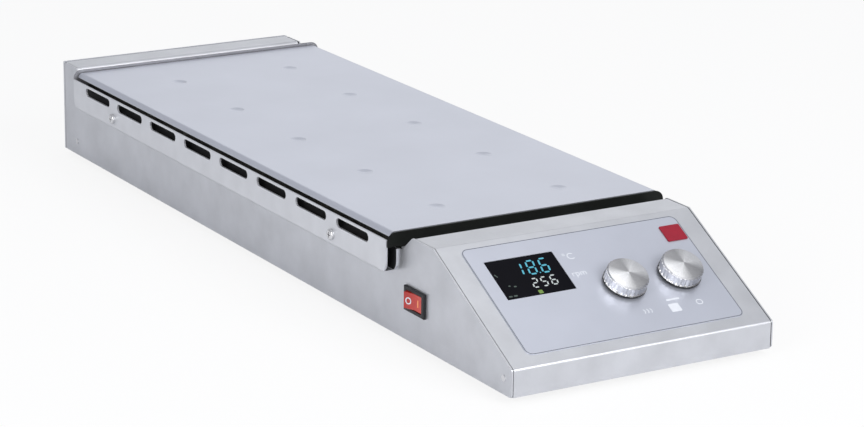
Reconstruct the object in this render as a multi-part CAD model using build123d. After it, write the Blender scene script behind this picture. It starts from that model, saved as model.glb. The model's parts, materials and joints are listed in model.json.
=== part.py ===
from build123d import *
import math
import os

os.makedirs("parts", exist_ok=True)

# A ten-position hotplate stirrer: a long sheet-metal housing with a sloping control console at
# its nose, a heated steel deck over ten belt-driven magnet rotors, and a hood over the mains end.
# Millimetres. +Z is up, the console faces -Y, and +X is to its right. The origin is on the table,
# under the middle of the instrument.

# Positions on the deck
ROWS = 5
PITCH = 90.0              # between neighbouring positions, along and across
FRONT_MARGIN = 34.0       # deck's front edge to the first row
REAR_MARGIN = 57.0        # last row to the deck's rear edge
SIDE_MARGIN = 48.0        # outer column to the housing's side
DIMPLE_R = 5.6
DIMPLE_DEPTH = 0.9

# Sheet metal
SHEET = 1.2               # covers, bulkheads and skirts
PANEL_SHEET = 1.0         # side panels
SEAM = 0.4                # open joint between neighbouring sheets
BEND_R = 2.2              # outside radius of a bend
TOUCH = 0.05              # clearance round a fixed piece in its hole

# Console, measured back from the nose
NOSE_H = 17.0
SLOPE_RUN = 89.0
STRIP_RUN = 24.0
LEDGE_W = 8.0             # turned-in ledge that carries a cover

# Gaps beside the deck and the rear hood
FRONT_GAP = 15.5
REAR_GAP = 13.0
HOOD_RUN = 24.5
REAR_WRAP = 4.0           # rear panel's turned sides
REAR_PROUD = 3.0          # how far the fittings stand out at the back

# Stack of layers from the floor to the deck
FOOT_GAP = 4.5
PILLAR_H = 17.0
CHASSIS_T = 2.0
HUB_GAP = 1.5
RIM_T = 1.5
DRUM_H = 10.0
MAGNET_H = 8.0
AIR_GAP = 2.8
TRAY_T = 1.0
INSULATION_T = 12.0
ELEMENT_T = 1.5
SPREADER_T = 4.0
PLATE_T = 1.5

# Deck plate and skirts
PLATE_INSET = 4.0         # flat of the deck inside the housing's side
PLATE_BEND_R = 12.5
PLATE_BEND_ANGLE = 48.0
PLATE_SETBACK = 1.3
UPSTAND = 2.0             # rear bulkhead above the deck
BULKHEAD_R = 6.0
BULKHEAD_INSET = 0.5      # bulkhead ends inside the skirts' faces
SKIRT_OUT = 8.5           # skirt's face outside the housing's side
SKIRT_TOP_DROP = 4.5      # deck down to the skirt's top edge
SKIRT_H = 21.5
SKIRT_INNER_H = 15.0
SKIRT_CORNER_R = 7.0
WALL_DROP = 10.5          # side panel's top edge below the deck
NOTCH_RUN = 12.5
SLOT_COUNT = 8
SLOT_L = 40.0
SLOT_H = 6.0
SLOT_DROP = 8.9           # deck down to the slots' centre line
SLOT_END_MARGIN = 21.3
SCREW_DROP = 18.5
SCREW_INSET = 67.0
SCREW_R = 2.0
SCREW_HEAD_R = 3.6
SCREW_HEAD_H = 2.2
SPACER_R = 4.0

# Rotors, belts and motor
SPINDLE_R = 2.5
RUNNING = 0.05            # radial clearance of a running fit
HUB_R = 20.0
DRUM_R = 17.0
MAGNET_R = 7.0
MAGNET_OFFSET = 11.0
BELT_T = 1.0
BELT_W = 4.0
BELT_CLEAR = 0.3
BELT_EDGE = 0.4
MOTOR_R = 18.0
MOTOR_H = 14.0
MOTOR_DRUM_R = 8.5
MOTOR_RIM_R = 10.5
MOTOR_RIM_T = 1.2
MOTOR_SHAFT_R = 2.0
MOTOR_BOSS_R = 5.5
MOTOR_LIFT = 2.0          # motor's face above the chassis's underside

# Console furniture, on the slope: u to the right, v up the slope from the nose
OVERLAY_T = 0.4
OVERLAY_HALF_W = 77.5
OVERLAY_LOW = 8.5
OVERLAY_HIGH = 96.5
OVERLAY_R = 4.5
DISPLAY_U = -43.4
DISPLAY_V = 67.9
DISPLAY_W = 47.3
DISPLAY_H = 31.3
DISPLAY_RIM = 1.6
MODULE_MARGIN = 2.5
BADGE_U = 68.6
BADGE_V = 82.1
BADGE_W = 14.6
BADGE_H = 13.0
BADGE_T = 0.8
KNOB_U = (13.0, 53.0)
KNOB_V = 49.2
KNOB_R = 13.4
KNOB_BASE_R = 13.8
KNOB_FACE_R = 12.5
KNOB_GAP = 1.6            # knob's underside above the console's skin
KNOB_BASE_T = 1.0
KNOB_GRIP_H = 5.6
KNOB_CHAMFER_H = 1.2
KNOB_CONE_H = 1.0
KNOB_FLUTES = 30
FLUTE_SIDE = 1.1
KNOB_RECESS_R = 7.0
KNOB_RECESS_H = 4.0
PUSH_TRAVEL = 1.0
ENCODER_SIDE = 12.0
ENCODER_H = 8.0
BUSH_R = 3.5
BUSH_TOP = 3.8
NUT_ACROSS = 10.0
NUT_T = 2.0
SHAFT_R = 3.0
SHAFT_TOP = 8.0
PLUNGER_R = 3.6
PLUNGER_T = 1.2
BOARD_T = 1.6
BOARD_HALF_W = 78.0
BOARD_LOW = 14.0
BOARD_HIGH = 92.0
POST_R = 3.0

# Power switch in the left panel
SWITCH_FROM_NOSE = 107.6
SWITCH_Z = 27.3           # above the housing's lower edge
SWITCH_L = 23.5
SWITCH_H = 15.6
SWITCH_LIP = 2.0
SWITCH_FRAME = 1.6
SWITCH_DEPTH = 17.0
ROCKER_R = 8.8            # its ends are round about the pivot
ROCKER_H = 10.4
ROCKER_GAP = 0.35
ROCKER_ANGLE = 22.0       # full throw
ROCKER_WEB = 2.0          # pivot to the valley between its two faces
ROCKER_SINK = 0.5         # pressed face inside the bezel's face
TRUNNION_R = 1.2
TRUNNION_L = 0.5

# Mains end
INLET_X = -50.0
FITTING_Z = 30.0
INLET_FLANGE_W = 31.0
INLET_FLANGE_H = 25.0
INLET_FLANGE_T = 2.0
INLET_BODY_W = 27.4
INLET_BODY_H = 20.0
INLET_DEPTH = 21.0
INLET_CAVITY_W = 24.5
INLET_CAVITY_H = 16.5
INLET_CAVITY_D = 16.0
INLET_CHAMFER = 4.0
PIN_W = 2.0
PIN_H = 4.0
PIN_L = 14.0
PIN_SPREAD = 7.0
PIN_RISE = 2.0
FUSE_X = -16.0
FUSE_R = 6.0
FUSE_CAP_R = 7.5
FUSE_DEPTH = 18.0
PROBE_X = 14.0
PROBE_R = 5.0
PROBE_NUT_R = 7.0
PROBE_DEPTH = 15.0
PROBE_BORE_R = 3.6
VENT_X = (34.0, 82.0)
VENT_COUNT = 9
VENT_W = 2.4
VENT_H = 26.0

# Base
PAN_FLANGE = 12.0
FOOT_R = 8.0
FOOT_TIP_R = 6.8
FOOT_INSET_X = 27.0
FOOT_INSET_Y = 34.0
FOOT_SCREW_R = 1.5
FOOT_HEAD_R = 3.0
FOOT_HEAD_H = 1.8
FOOT_POCKET_R = 3.8
FOOT_POCKET_H = 2.4
FOOT_NUT_R = 2.9
FOOT_NUT_H = 2.4
CASE_SCREW_R = 1.4
CASE_HEAD_R = 1.9
CASE_HEAD_H = 0.5
CASE_SCREW_INSET = 8.3
CASE_SCREW_Z = 10.0
PAN_SLOT_W = 3.0
PAN_SLOT_L = 34.0
PAN_SLOT_PITCH = 9.0
PAN_SLOT_COUNT = 7
CHASSIS_INSET = 8.0
CHASSIS_EDGE = 7.0
PILLAR_R = 4.0
POWER_BOARD_L = 96.0
POWER_BOARD_W = 74.0
POWER_POST_H = 4.0
SENSOR_R = 5.0
SENSOR_BELOW = 2.0

# Worked-out sizes
PLATE_L = FRONT_MARGIN + PITCH * (ROWS - 1) + REAR_MARGIN
HOUSING_W = PITCH + 2 * SIDE_MARGIN
HOUSING_L = (SLOPE_RUN + STRIP_RUN + FRONT_GAP + 2 * SHEET + 2 * PLATE_SETBACK + PLATE_L
             + REAR_GAP + HOOD_RUN)
DECK_H = (SHEET + PILLAR_H + CHASSIS_T + HUB_GAP + 2 * RIM_T + DRUM_H + MAGNET_H + AIR_GAP
          + TRAY_T + INSULATION_T + ELEMENT_T + SPREADER_T + PLATE_T)
SIDE = HOUSING_W / 2
BOTTOM = FOOT_GAP
DECK = BOTTOM + DECK_H
FRONT = -(HOUSING_L + REAR_PROUD) / 2
REAR = FRONT + HOUSING_L
SLOPE_TOP_Y = FRONT + SLOPE_RUN
STRIP_END_Y = SLOPE_TOP_Y + STRIP_RUN
SKIRT_Y0 = STRIP_END_Y + FRONT_GAP + SHEET
PLATE_Y0 = SKIRT_Y0 + PLATE_SETBACK
PLATE_Y1 = PLATE_Y0 + PLATE_L
SKIRT_Y1 = PLATE_Y1 + PLATE_SETBACK
HOOD_Y = SKIRT_Y1 + SHEET + REAR_GAP
WALL_TOP = DECK - WALL_DROP
SKIRT_X = SIDE + SKIRT_OUT
SKIRT_TOP = DECK - SKIRT_TOP_DROP
SKIRT_LOW = SKIRT_TOP - SKIRT_H
PLATE_FLAT = SIDE - PLATE_INSET
SLOPE_RISE = DECK_H - NOSE_H
SLOPE_TILT = math.atan2(SLOPE_RISE, SLOPE_RUN)
PAN_TOP = BOTTOM + SHEET
CHASSIS_TOP = PAN_TOP + PILLAR_H + CHASSIS_T
HUB_LOW = CHASSIS_TOP + HUB_GAP
DRUM_LOW = HUB_LOW + RIM_T
HUB_TOP = HUB_LOW + 2 * RIM_T + DRUM_H + MAGNET_H
TRAY_LOW = HUB_TOP + AIR_GAP
ROW_Y = [PLATE_Y0 + FRONT_MARGIN + PITCH * row for row in range(ROWS)]
LEFT_X = -PITCH / 2
RIGHT_X = PITCH / 2
POSITIONS = [(LEFT_X, y) for y in ROW_Y] + [(RIGHT_X, y) for y in ROW_Y]

# Plane of the console's skin, from the nose's upper edge; its normal points out of the console
SLOPE = Plane(
    origin=(0, FRONT, BOTTOM + NOSE_H),
    x_dir=(1, 0, 0),
    z_dir=(0, -math.sin(SLOPE_TILT), math.cos(SLOPE_TILT)),
)


def save(name, *solids):
    """Write one sub-part; several solids under one name stay separate."""
    shapes = [solid for item in solids for solid in item.solids()]
    export_step(shapes[0] if len(shapes) == 1 else Compound(children=shapes), f"parts/{name}.step")


def block(x0, x1, y0, y1, z0, z1):
    """A box between two corners."""
    centre = Pos((x0 + x1) / 2, (y0 + y1) / 2, (z0 + z1) / 2)
    return centre * Box(x1 - x0, y1 - y0, z1 - z0)


def post(x, y, z0, z1, radius):
    """An upright round bar."""
    return Pos(x, y, (z0 + z1) / 2) * Cylinder(radius, z1 - z0)


def bar_x(x0, x1, y, z, radius):
    """A round bar along X."""
    return Pos((x0 + x1) / 2, y, z) * Rot(0, 90, 0) * Cylinder(radius, x1 - x0)


def bar_y(x, y0, y1, z, radius):
    """A round bar along Y."""
    return Pos(x, (y0 + y1) / 2, z) * Rot(90, 0, 0) * Cylinder(radius, y1 - y0)


def strip(points, radius, thickness, side):
    """Section of a bent sheet whose outer line runs through the points."""
    line = FilletPolyline(*points, radius=radius)
    return make_face(offset(line, amount=thickness, side=side, closed=True))


def along_x(face, x0, x1):
    """Extrude a section drawn in Y and Z."""
    return extrude(Plane.YZ.offset(x0) * face, amount=x1 - x0)


def along_y(face, y0, y1):
    """Extrude a section drawn in X and Z."""
    return extrude(Plane.XZ.offset(-y1) * face, amount=y1 - y0)


def along_z(face, z0, z1):
    """Extrude a section drawn in X and Y."""
    return extrude(Plane.XY.offset(z0) * face, amount=z1 - z0)


def on_slope(face, w0, w1):
    """Extrude a sketch drawn on the console's slope, between two heights over its skin."""
    return extrude(SLOPE.offset(w0) * face, amount=w1 - w0)


def mirrored(shape):
    """The same piece on the other side of the instrument."""
    return mirror(shape, about=Plane.YZ)


# Housing


console_points = [
    (FRONT, BOTTOM),
    (FRONT, BOTTOM + NOSE_H),
    (SLOPE_TOP_Y, DECK),
    (STRIP_END_Y, DECK),
]
gap_floor = WALL_TOP + SHEET


def side_panel():
    """Left side panel with the ledges that carry the covers."""
    rear_edge = REAR - REAR_WRAP - SEAM
    outline = FilletPolyline(
        (FRONT, BOTTOM),
        (FRONT, BOTTOM + NOSE_H),
        (SLOPE_TOP_Y, DECK),
        (STRIP_END_Y, DECK),
        (STRIP_END_Y + NOTCH_RUN, WALL_TOP),
        (HOOD_Y - NOTCH_RUN, WALL_TOP),
        (HOOD_Y, DECK),
        (rear_edge, DECK),
        (rear_edge, BOTTOM),
        radius=BEND_R,
        close=True,
    )
    panel = along_x(make_face(outline), -SIDE, -SIDE + PANEL_SHEET)
    under = strip(console_points, BEND_R, 2 * SHEET, Side.RIGHT)
    under -= strip(console_points, BEND_R, SHEET, Side.RIGHT)
    ledge = along_x(under, -SIDE + PANEL_SHEET, -SIDE + PANEL_SHEET + LEDGE_W)
    ledge -= block(-SIDE, 0, STRIP_END_Y - BEND_R - SEAM, REAR, BOTTOM, DECK)
    ledge -= block(-SIDE, 0, FRONT, SLOPE_TOP_Y, BOTTOM, PAN_TOP + PAN_FLANGE + SEAM)
    hood_ledge = block(
        -SIDE + PANEL_SHEET,
        -SIDE + PANEL_SHEET + LEDGE_W,
        HOOD_Y + BEND_R + SEAM,
        REAR - REAR_WRAP - SEAM,
        DECK - 2 * SHEET,
        DECK - SHEET,
    )
    return panel + ledge + hood_ledge


def case_screw_places():
    """Where the small screws join a side panel to the pan."""
    return [(y, BOTTOM + CASE_SCREW_Z) for y in (FRONT + CASE_SCREW_INSET, HOOD_Y)]


def skirt_screw_places():
    """Where the skirt's screws cross the side panel."""
    return [(y, DECK - SCREW_DROP) for y in (SKIRT_Y0 + SCREW_INSET, SKIRT_Y1 - SCREW_INSET)]


def drilled_side_panel():
    """Side panel with the holes for its screws."""
    panel = side_panel()
    for y, z in case_screw_places():
        panel -= bar_x(-SIDE - 1, -SIDE + 3, y, z, CASE_SCREW_R + TOUCH)
    for y, z in skirt_screw_places():
        panel -= bar_x(-SIDE - 1, -SIDE + 3, y, z, SCREW_R + TOUCH)
    return panel


def switch_box(margin, x0, x1):
    """Rectangular prism through the left panel at the power switch."""
    y = FRONT + SWITCH_FROM_NOSE
    z = BOTTOM + SWITCH_Z
    half_l = SWITCH_L / 2 - SWITCH_FRAME + margin
    half_h = SWITCH_H / 2 - SWITCH_FRAME + margin
    return block(x0, x1, y - half_l, y + half_l, z - half_h, z + half_h)


left_panel = drilled_side_panel() - switch_box(TOUCH, -SIDE - 1, -SIDE + 5)
save("left_side_panel", left_panel)
save("right_side_panel", mirrored(drilled_side_panel()))

cover_half = SIDE - PANEL_SHEET - SEAM
front_floor = [(STRIP_END_Y, gap_floor), (SKIRT_Y0 - SHEET - SEAM, gap_floor)]
cover_line = strip(console_points + front_floor, BEND_R, SHEET, Side.RIGHT)
cover = along_x(cover_line, -cover_half, cover_half)
window = Pos(DISPLAY_U, DISPLAY_V) * Rectangle(DISPLAY_W + 2 * SEAM, DISPLAY_H + 2 * SEAM)
cover -= on_slope(window, -2 * SHEET, SHEET)
for u in KNOB_U:
    cover -= on_slope(Pos(u, KNOB_V) * Circle(BUSH_R + TOUCH), -2 * SHEET, SHEET)
save("console_cover", cover)

hood_end = REAR - SHEET - SEAM
hood_points = [
    (SKIRT_Y1 + SHEET + SEAM, gap_floor),
    (HOOD_Y, gap_floor),
    (HOOD_Y, DECK),
    (hood_end, DECK),
    (hood_end, DECK - LEDGE_W),
]
save("rear_hood", along_x(strip(hood_points, BEND_R, SHEET, Side.RIGHT), -cover_half, cover_half))

fitting_z = BOTTOM + FITTING_Z
wrap_y = REAR - REAR_WRAP
rear_points = [(-SIDE, wrap_y), (-SIDE, REAR), (SIDE, REAR), (SIDE, wrap_y)]
rear_panel = along_z(strip(rear_points, BEND_R, SHEET, Side.RIGHT), BOTTOM, DECK)
rear_panel -= block(
    INLET_X - INLET_BODY_W / 2 - TOUCH,
    INLET_X + INLET_BODY_W / 2 + TOUCH,
    REAR - 2 * SHEET,
    REAR + SHEET,
    fitting_z - INLET_BODY_H / 2 - TOUCH,
    fitting_z + INLET_BODY_H / 2 + TOUCH,
)
rear_panel -= bar_y(FUSE_X, REAR - 2 * SHEET, REAR + SHEET, fitting_z, FUSE_R + TOUCH)
rear_panel -= bar_y(PROBE_X, REAR - 2 * SHEET, REAR + SHEET, fitting_z, PROBE_R + TOUCH)
vent_pitch = (VENT_X[1] - VENT_X[0]) / (VENT_COUNT - 1)
for number in range(VENT_COUNT):
    vent = Pos(VENT_X[0] + vent_pitch * number, fitting_z) * SlotOverall(VENT_H, VENT_W, rotation=90)
    rear_panel -= along_y(vent, REAR - 2 * SHEET, REAR + SHEET)
save("rear_panel", rear_panel)

# Base pan, feet and the small screws

pan_x = SIDE - PANEL_SHEET
pan_y0 = FRONT + SHEET
pan_y1 = REAR - SHEET
pan = block(-pan_x, pan_x, pan_y0, pan_y1, BOTTOM, PAN_TOP + PAN_FLANGE)
pan -= block(-pan_x + SHEET, pan_x - SHEET, pan_y0 + SHEET, pan_y1 - SHEET, PAN_TOP, DECK)
for wrap_x in (-1, 1):
    corner = sorted((wrap_x * (pan_x - SHEET), wrap_x * SIDE))
    pan -= block(corner[0], corner[1], REAR - REAR_WRAP - SEAM, REAR, 0, DECK)
feet_places = [
    (x, y)
    for x in (-SIDE + FOOT_INSET_X, SIDE - FOOT_INSET_X)
    for y in (FRONT + FOOT_INSET_Y, REAR - FOOT_INSET_Y)
]
for x, y in feet_places:
    pan -= post(x, y, BOTTOM - 1, PAN_TOP + 1, FOOT_SCREW_R + TOUCH)
for y, z in case_screw_places():
    for x in (-pan_x, pan_x):
        pan -= bar_x(x - 2, x + 2, y, z, CASE_SCREW_R + TOUCH)
pan_slot = SlotOverall(PAN_SLOT_L, PAN_SLOT_W)
slot_rows = [FRONT + SLOPE_RUN / 2, ROW_Y[-1]]
for group_y in slot_rows:
    for number in range(PAN_SLOT_COUNT):
        shift = PAN_SLOT_PITCH * (number - (PAN_SLOT_COUNT - 1) / 2)
        pan -= along_z(Pos(0, group_y + shift) * pan_slot, BOTTOM - 1, PAN_TOP + 1)
save("base_pan", pan)

feet = []
foot_screws = []
for x, y in feet_places:
    foot = Pos(x, y, FOOT_GAP / 2) * Cone(FOOT_TIP_R, FOOT_R, FOOT_GAP)
    foot -= post(x, y, 0, FOOT_POCKET_H, FOOT_POCKET_R)
    foot -= post(x, y, 0, BOTTOM, FOOT_SCREW_R + TOUCH)
    feet.append(foot)
    screw = post(x, y, FOOT_POCKET_H - FOOT_HEAD_H, FOOT_POCKET_H, FOOT_HEAD_R)
    screw += post(x, y, FOOT_POCKET_H, PAN_TOP + FOOT_NUT_H + 1, FOOT_SCREW_R)
    screw += along_z(Pos(x, y) * RegularPolygon(FOOT_NUT_R, 6), PAN_TOP, PAN_TOP + FOOT_NUT_H)
    foot_screws.append(screw)
save("rubber_feet", *feet)
save("foot_screws", *foot_screws)

case_screws = []
for y, z in case_screw_places():
    screw = bar_x(-SIDE - CASE_HEAD_H, -SIDE, y, z, CASE_HEAD_R)
    screw += bar_x(-SIDE, -pan_x + 2 * SHEET, y, z, CASE_SCREW_R)
    case_screws += [screw, mirrored(screw)]
save("case_screws", *case_screws)

# Deck: plate, spreader, element, insulation and the tray that carries them

bend_end = math.radians(PLATE_BEND_ANGLE)
bend_half = bend_end / 2
bend_z = DECK - PLATE_BEND_R


def bend_point(angle, radius, sign):
    """A point on the deck's rolled edge, by its angle from the vertical."""
    return (sign * (PLATE_FLAT + radius * math.sin(angle)), bend_z + radius * math.cos(angle))


def rolled_line(radius):
    """Section line of the deck from one rolled edge to the other."""
    left = [bend_point(angle, radius, -1) for angle in (bend_end, bend_half, 0)]
    right = [bend_point(angle, radius, 1) for angle in (0, bend_half, bend_end)]
    return ThreePointArc(*left), Line(left[2], right[0]), ThreePointArc(*right)


upper = rolled_line(PLATE_BEND_R)
lower = rolled_line(PLATE_BEND_R - PLATE_T)
ends = [Line(upper[0] @ 0, lower[0] @ 0), Line(upper[2] @ 1, lower[2] @ 1)]
plate = along_y(make_face([*upper, *lower, *ends]), PLATE_Y0, PLATE_Y1)
dimple_ball_r = (DIMPLE_R**2 + DIMPLE_DEPTH**2) / (2 * DIMPLE_DEPTH)
for x, y in POSITIONS:
    plate -= Pos(x, y, DECK - DIMPLE_DEPTH + dimple_ball_r) * Sphere(dimple_ball_r)
save("hot_plate", plate)

stack_x = PLATE_FLAT - SHEET
spreader_low = DECK - PLATE_T - SPREADER_T
element_low = spreader_low - ELEMENT_T
tray_top = element_low - INSULATION_T
stack_y0 = PLATE_Y0 + SHEET
stack_y1 = PLATE_Y1 - SHEET
save("heat_spreader", block(-stack_x, stack_x, stack_y0, stack_y1, spreader_low, DECK - PLATE_T))

element = block(-stack_x, stack_x, stack_y0, stack_y1, element_low, spreader_low)
save("heating_element", element)

sensor_y = ROW_Y[ROWS // 2]
insulation = block(-stack_x + TRAY_T, stack_x - TRAY_T, SKIRT_Y0, SKIRT_Y1, tray_top, element_low)
insulation -= post(0, sensor_y, tray_top - 1, element_low + 1, SENSOR_R + TOUCH)
save("insulation_board", insulation)

tray_side = stack_x
tray_sheet = make_face(
    Polyline(
        (-SIDE, WALL_TOP + TRAY_T),
        (-SIDE, WALL_TOP),
        (-tray_side, WALL_TOP),
        (-tray_side, TRAY_LOW),
        (tray_side, TRAY_LOW),
        (tray_side, WALL_TOP),
        (SIDE, WALL_TOP),
        (SIDE, WALL_TOP + TRAY_T),
        (tray_side - TRAY_T, WALL_TOP + TRAY_T),
        (tray_side - TRAY_T, tray_top),
        (-tray_side + TRAY_T, tray_top),
        (-tray_side + TRAY_T, WALL_TOP + TRAY_T),
        close=True,
    )
)
tray = along_y(tray_sheet, SKIRT_Y0, SKIRT_Y1)
tray -= post(0, sensor_y, TRAY_LOW - 1, tray_top + 1, SENSOR_R + TOUCH)
save("insulation_tray", tray)

sensor = post(0, sensor_y, TRAY_LOW - SENSOR_BELOW, element_low, SENSOR_R)
sensor += post(0, sensor_y, TRAY_LOW - SENSOR_BELOW, TRAY_LOW, SENSOR_R + 2)
save("temperature_sensor", sensor)


def bulkhead(top, y0):
    """Closing sheet at one end of the deck, round at its upper corners."""
    half = SKIRT_X - BULKHEAD_INSET
    low = WALL_TOP + TRAY_T + SEAM
    head = Pos(0, (top + low) / 2) * Rectangle(2 * half, top - low)
    head = fillet(head.vertices().sort_by(Axis.Y)[2:], BULKHEAD_R)
    skirt = Pos(0, (TRAY_LOW + low) / 2) * Rectangle(2 * (SIDE - PANEL_SHEET - SEAM), low - TRAY_LOW)
    return along_y(head + skirt, y0, y0 + SHEET)


save("front_bulkhead", bulkhead(DECK, SKIRT_Y0 - SHEET))
save("rear_bulkhead", bulkhead(DECK + UPSTAND, SKIRT_Y1))

# Slotted skirts: a folded gutter on each side, held off the housing by its screws

skirt_points = [
    (-SKIRT_X, SKIRT_TOP),
    (-SKIRT_X, SKIRT_LOW),
    (-SIDE, SKIRT_LOW),
    (-SIDE, SKIRT_LOW + SKIRT_INNER_H),
]
skirt = along_y(strip(skirt_points, BEND_R, SHEET, Side.LEFT), SKIRT_Y0, SKIRT_Y1)
skirt_mid = (SKIRT_Y0 + SKIRT_Y1) / 2
skirt_l = SKIRT_Y1 - SKIRT_Y0
profile = Pos(skirt_mid, (SKIRT_TOP + SKIRT_LOW) / 2) * Rectangle(skirt_l, SKIRT_H)
profile = fillet(profile.vertices().sort_by(Axis.Y)[:2], SKIRT_CORNER_R)
skirt &= along_x(profile, -SKIRT_X - 1, -SIDE + 1)
slot_pitch = (skirt_l - 2 * SLOT_END_MARGIN - SLOT_L) / (SLOT_COUNT - 1)
for number in range(SLOT_COUNT):
    slot_y = SKIRT_Y0 + SLOT_END_MARGIN + SLOT_L / 2 + slot_pitch * number
    slot = Pos(slot_y, DECK - SLOT_DROP) * SlotOverall(SLOT_L, SLOT_H)
    skirt -= along_x(slot, -SKIRT_X - 1, -SKIRT_X + 2 * SHEET)
for y, z in skirt_screw_places():
    skirt -= bar_x(-SKIRT_X - 1, -SIDE + 1, y, z, SCREW_R + TOUCH)
save("left_skirt", skirt)
save("right_skirt", mirrored(skirt))

spacers = []
skirt_screws = []
recess = Rectangle(SCREW_HEAD_R, SCREW_R / 3) + Rectangle(SCREW_R / 3, SCREW_HEAD_R)
for y, z in skirt_screw_places():
    spacer = bar_x(-SKIRT_X + SHEET, -SIDE - SHEET, y, z, SPACER_R)
    spacer -= bar_x(-SKIRT_X, -SIDE, y, z, SCREW_R + TOUCH)
    spacers += [spacer, mirrored(spacer)]
    head_plane = Plane(origin=(-SKIRT_X, y, z), x_dir=(0, 1, 0), z_dir=(-1, 0, 0))
    head = extrude(head_plane * Circle(SCREW_HEAD_R), amount=SCREW_HEAD_H)
    head = fillet(head.edges().sort_by(Axis.X)[0], SCREW_HEAD_H * 0.6)
    head -= extrude(head_plane.offset(SCREW_HEAD_H / 2) * recess, amount=SCREW_HEAD_H)
    screw = head + bar_x(-SKIRT_X, -SIDE + PANEL_SHEET + 3, y, z, SCREW_R)
    nut_plane = Plane.YZ.offset(-SIDE + PANEL_SHEET)
    screw += extrude(nut_plane * Pos(y, z) * RegularPolygon(2 * SCREW_R, 6), amount=SCREW_R)
    skirt_screws += [screw, mirrored(screw)]
save("skirt_spacers", *spacers)
save("skirt_screws", *skirt_screws)

# Drive: chassis, spindles, ten magnet rotors, belts and the motor

chassis_low = CHASSIS_TOP - CHASSIS_T
chassis_x = SIDE - PANEL_SHEET - CHASSIS_INSET
chassis_y0 = PLATE_Y0 + CHASSIS_INSET
chassis_y1 = PLATE_Y1 - CHASSIS_INSET
chassis_points = [
    (-chassis_x, CHASSIS_TOP - CHASSIS_EDGE),
    (-chassis_x, CHASSIS_TOP),
    (chassis_x, CHASSIS_TOP),
    (chassis_x, CHASSIS_TOP - CHASSIS_EDGE),
]
chassis = along_y(strip(chassis_points, BEND_R + 1, CHASSIS_T, Side.RIGHT), chassis_y0, chassis_y1)
motor_x = 0.0
motor_y = ROW_Y[0]
for x, y in POSITIONS:
    chassis -= post(x, y, chassis_low - 1, CHASSIS_TOP + 1, SPINDLE_R)
chassis -= post(motor_x, motor_y, chassis_low - 1, CHASSIS_TOP + 1, MOTOR_BOSS_R + TOUCH)
save("drive_chassis", chassis)

pillar_y = [(a + b) / 2 for a, b in zip(ROW_Y[:-1], ROW_Y[1:])]
pillar_x = (-SIDE + 2 * CHASSIS_INSET + PILLAR_R, SIDE - 2 * CHASSIS_INSET - PILLAR_R)
pillars = [post(x, y, PAN_TOP, chassis_low, PILLAR_R) for x in pillar_x for y in pillar_y]
save("chassis_pillars", *pillars)

spindles = []
for x, y in POSITIONS:
    spindle = post(x, y, chassis_low, HUB_TOP, SPINDLE_R)
    spindle += post(x, y, CHASSIS_TOP, HUB_LOW - RUNNING, 2 * SPINDLE_R)
    spindle += post(x, y, chassis_low - RIM_T, chassis_low, 1.5 * SPINDLE_R)
    spindles.append(spindle)
save("rotor_spindles", *spindles)


def rotor(x, y):
    """Flanged pulley with two disc magnets let into its upper disc."""
    hub = post(x, y, HUB_LOW, DRUM_LOW, HUB_R)
    hub += post(x, y, DRUM_LOW, DRUM_LOW + DRUM_H, DRUM_R)
    hub += post(x, y, DRUM_LOW + DRUM_H, HUB_TOP, HUB_R)
    hub -= post(x, y, HUB_LOW, HUB_TOP, SPINDLE_R + RUNNING)
    magnets = []
    for offset_x in (-MAGNET_OFFSET, MAGNET_OFFSET):
        hub -= post(x + offset_x, y, HUB_TOP - MAGNET_H, HUB_TOP, MAGNET_R + TOUCH)
        magnets.append(post(x + offset_x, y, HUB_TOP - MAGNET_H, HUB_TOP, MAGNET_R))
    return [hub, *magnets]


for number, (x, y) in enumerate(POSITIONS, start=1):
    save(f"rotor_{number:02d}", *rotor(x, y))

level_a = DRUM_LOW + BELT_EDGE
level_b = DRUM_LOW + DRUM_H - BELT_EDGE - BELT_W


def belt(first, second, radius_1, radius_2, z):
    """Flat belt round two pulleys, a hair clear of their drums."""
    rings = []
    for grow in (BELT_CLEAR + BELT_T, BELT_CLEAR):
        one = Pos(*first) * Circle(radius_1 + grow)
        two = Pos(*second) * Circle(radius_2 + grow)
        rings.append(make_hull([one.edge(), two.edge()]))
    return along_z(rings[0] - rings[1], z, z + BELT_W)


belts = []
for column_x in (LEFT_X, RIGHT_X):
    for row in range(ROWS - 1):
        z = level_a if row % 2 == 0 else level_b
        belts.append(belt((column_x, ROW_Y[row]), (column_x, ROW_Y[row + 1]), DRUM_R, DRUM_R, z))
last_level = level_a if ROWS % 2 == 1 else level_b
belts.append(belt((LEFT_X, ROW_Y[-1]), (RIGHT_X, ROW_Y[-1]), DRUM_R, DRUM_R, last_level))
belts.append(belt((motor_x, motor_y), (LEFT_X, motor_y), MOTOR_DRUM_R, DRUM_R, level_b))
save("drive_belts", *belts)

motor = post(motor_x, motor_y, chassis_low - MOTOR_H, chassis_low, MOTOR_R)
motor += post(motor_x, motor_y, chassis_low, chassis_low + MOTOR_LIFT, MOTOR_BOSS_R)
motor -= post(motor_x, motor_y, chassis_low - MOTOR_H / 2, DECK, MOTOR_SHAFT_R + RUNNING)
save("drive_motor", motor)

pulley_low = level_b - BELT_EDGE - MOTOR_RIM_T
drum_top = level_b + BELT_W + BELT_EDGE
pulley = post(motor_x, motor_y, pulley_low, pulley_low + MOTOR_RIM_T, MOTOR_RIM_R)
pulley += post(motor_x, motor_y, pulley_low + MOTOR_RIM_T, drum_top, MOTOR_DRUM_R)
pulley += post(motor_x, motor_y, drum_top, drum_top + MOTOR_RIM_T, MOTOR_RIM_R)
pulley -= post(motor_x, motor_y, pulley_low, DECK, MOTOR_SHAFT_R)
save("motor_pulley", pulley)
save("motor_shaft", post(motor_x, motor_y, chassis_low - MOTOR_H / 2 + RUNNING, drum_top, MOTOR_SHAFT_R))

# Console furniture

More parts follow.
